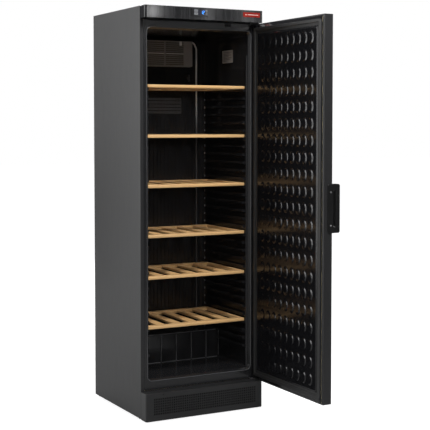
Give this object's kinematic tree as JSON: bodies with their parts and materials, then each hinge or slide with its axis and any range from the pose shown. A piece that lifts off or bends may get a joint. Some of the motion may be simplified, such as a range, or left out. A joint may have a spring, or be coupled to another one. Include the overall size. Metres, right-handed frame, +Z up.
{
  "type": "wine cooler",
  "caption": "Upright black wine cooler with a solid door hinged on the right, sliding beech shelves, a fascia controller and a grille over the base.",
  "frame": {"origin": "on the floor under the middle of the carcass, half way across and half way from the front flange to the back", "axes": "+Z up, +Y to the back, +X to the right seen from the front; the door is hinged on +X and rests open at 90 degrees"},
  "size_m": [0.6485, 1.1454, 1.84],
  "materials": {
    "cabinet_paint": "satin",
    "feet_rubber": "matte",
    "liner_plastic": "gloss",
    "foam": "matte",
    "fascia_plastic": "semi-gloss",
    "display_window": "gloss",
    "key_plastic": "satin",
    "circuit_board": "satin",
    "badge": "gloss",
    "gasket_rubber": "matte",
    "handle_plastic": "satin",
    "screw_steel": "satin",
    "bracket_steel": "satin",
    "beech": "satin lacquer",
    "coil_aluminium": "satin",
    "grey_tube": "satin",
    "compressor_paint": "semi-gloss",
    "copper": "satin"
  },
  "bodies": {
    "cabinet": {"side_panel_left": "cabinet_paint", "side_panel_right": "cabinet_paint", "top_panel": "cabinet_paint", "back_panel": "cabinet_paint", "base_frame": "cabinet_paint", "levelling_feet": "feet_rubber", "inner_liner": "liner_plastic", "foam_insulation": "foam", "fascia_panel": "fascia_plastic", "controller_bezel": "fascia_plastic", "controller_display": "display_window", "control_board": "circuit_board", "badge_plate": "badge", "door_switch_body": "fascia_plastic", "kick_plate": "cabinet_paint", "rear_cover": "cabinet_paint", "power_inlet": "fascia_plastic", "panel_screws": "screw_steel", "hinge_bracket_top": "bracket_steel", "hinge_bracket_bottom": "bracket_steel", "hinge_pins": "screw_steel", "hinge_screws": "screw_steel", "air_duct_panel": "liner_plastic", "fan_cover": "liner_plastic", "evaporator": "coil_aluminium", "evaporator_fan_frames": "fascia_plastic", "sensor_conduit": "grey_tube", "temperature_sensor": "grey_tube", "rating_plate": "grey_tube", "compressor": "compressor_paint", "compressor_mounts": "feet_rubber", "starter_relay": "fascia_plastic", "drip_tray": "grey_tube", "condenser": "coil_aluminium", "condenser_fan_frame": "bracket_steel", "filter_drier": "copper", "refrigerant_lines": "copper"},
    "door": {"door_skin": "cabinet_paint", "door_liner": "liner_plastic", "door_end_caps": "fascia_plastic", "hinge_bushes": "handle_plastic", "door_foam": "foam", "door_gasket": "gasket_rubber", "door_handle": "handle_plastic", "handle_screws": "screw_steel"},
    "door_switch_plunger": {"door_switch_plunger": "fascia_plastic"},
    "fan_blade_left": {"fan_blade_left": "fascia_plastic"},
    "fan_blade_right": {"fan_blade_right": "fascia_plastic"},
    "condenser_fan_blade": {"condenser_fan_blade": "fascia_plastic"},
    "key_set": {"key_set": "key_plastic"},
    "key_light": {"key_light": "key_plastic"},
    "key_up": {"key_up": "key_plastic"},
    "key_down": {"key_down": "key_plastic"},
    "shelf_1": {"shelf_1": "beech"},
    "shelf_2": {"shelf_2": "beech"},
    "shelf_3": {"shelf_3": "beech"},
    "shelf_4": {"shelf_4": "beech"},
    "shelf_5": {"shelf_5": "beech"},
    "shelf_6": {"shelf_6": "beech"}
  },
  "joints": [
    {"name": "door_hinge", "type": "hinge", "parent": "cabinet", "child": "door", "pos_m": [0.2825, -0.29, 0.957], "axis": [0, 0, 1], "range_deg": [-90, 20]},
    {"name": "shelf_1_slide", "type": "slide", "parent": "cabinet", "child": "shelf_1", "axis": [0, -1, 0], "range_m": [0, 0.24]},
    {"name": "shelf_2_slide", "type": "slide", "parent": "cabinet", "child": "shelf_2", "axis": [0, -1, 0], "range_m": [0, 0.24]},
    {"name": "shelf_3_slide", "type": "slide", "parent": "cabinet", "child": "shelf_3", "axis": [0, -1, 0], "range_m": [0, 0.24]},
    {"name": "shelf_4_slide", "type": "slide", "parent": "cabinet", "child": "shelf_4", "axis": [0, -1, 0], "range_m": [0, 0.24]},
    {"name": "shelf_5_slide", "type": "slide", "parent": "cabinet", "child": "shelf_5", "axis": [0, -1, 0], "range_m": [0, 0.24]},
    {"name": "shelf_6_slide", "type": "slide", "parent": "cabinet", "child": "shelf_6", "axis": [0, -1, 0], "range_m": [0, 0.24]},
    {"name": "fan_left_spin", "type": "hinge", "parent": "cabinet", "child": "fan_blade_left", "pos_m": [-0.052, 0.131, 1.661], "axis": [0, -1, 0], "continuous": true},
    {"name": "fan_right_spin", "type": "hinge", "parent": "cabinet", "child": "fan_blade_right", "pos_m": [0.052, 0.131, 1.661], "axis": [0, -1, 0], "continuous": true},
    {"name": "condenser_fan_spin", "type": "hinge", "parent": "cabinet", "child": "condenser_fan_blade", "pos_m": [0.165, 0.14, 0.124], "axis": [0, -1, 0], "continuous": true},
    {"name": "key_set_press", "type": "slide", "parent": "cabinet", "child": "key_set", "axis": [0, 1, 0], "range_m": [0, 0.001], "stiffness_N_per_m": 800, "springref_m": -0.0005},
    {"name": "key_light_press", "type": "slide", "parent": "cabinet", "child": "key_light", "axis": [0, 1, 0], "range_m": [0, 0.001], "stiffness_N_per_m": 800, "springref_m": -0.0005},
    {"name": "key_up_press", "type": "slide", "parent": "cabinet", "child": "key_up", "axis": [0, 1, 0], "range_m": [0, 0.001], "stiffness_N_per_m": 800, "springref_m": -0.0005},
    {"name": "key_down_press", "type": "slide", "parent": "cabinet", "child": "key_down", "axis": [0, 1, 0], "range_m": [0, 0.001], "stiffness_N_per_m": 800, "springref_m": -0.0005},
    {"name": "door_switch_press", "type": "slide", "parent": "cabinet", "child": "door_switch_plunger", "axis": [0, 1, 0], "range_m": [0, 0.003], "stiffness_N_per_m": 400, "springref_m": -0.001}
  ]
}
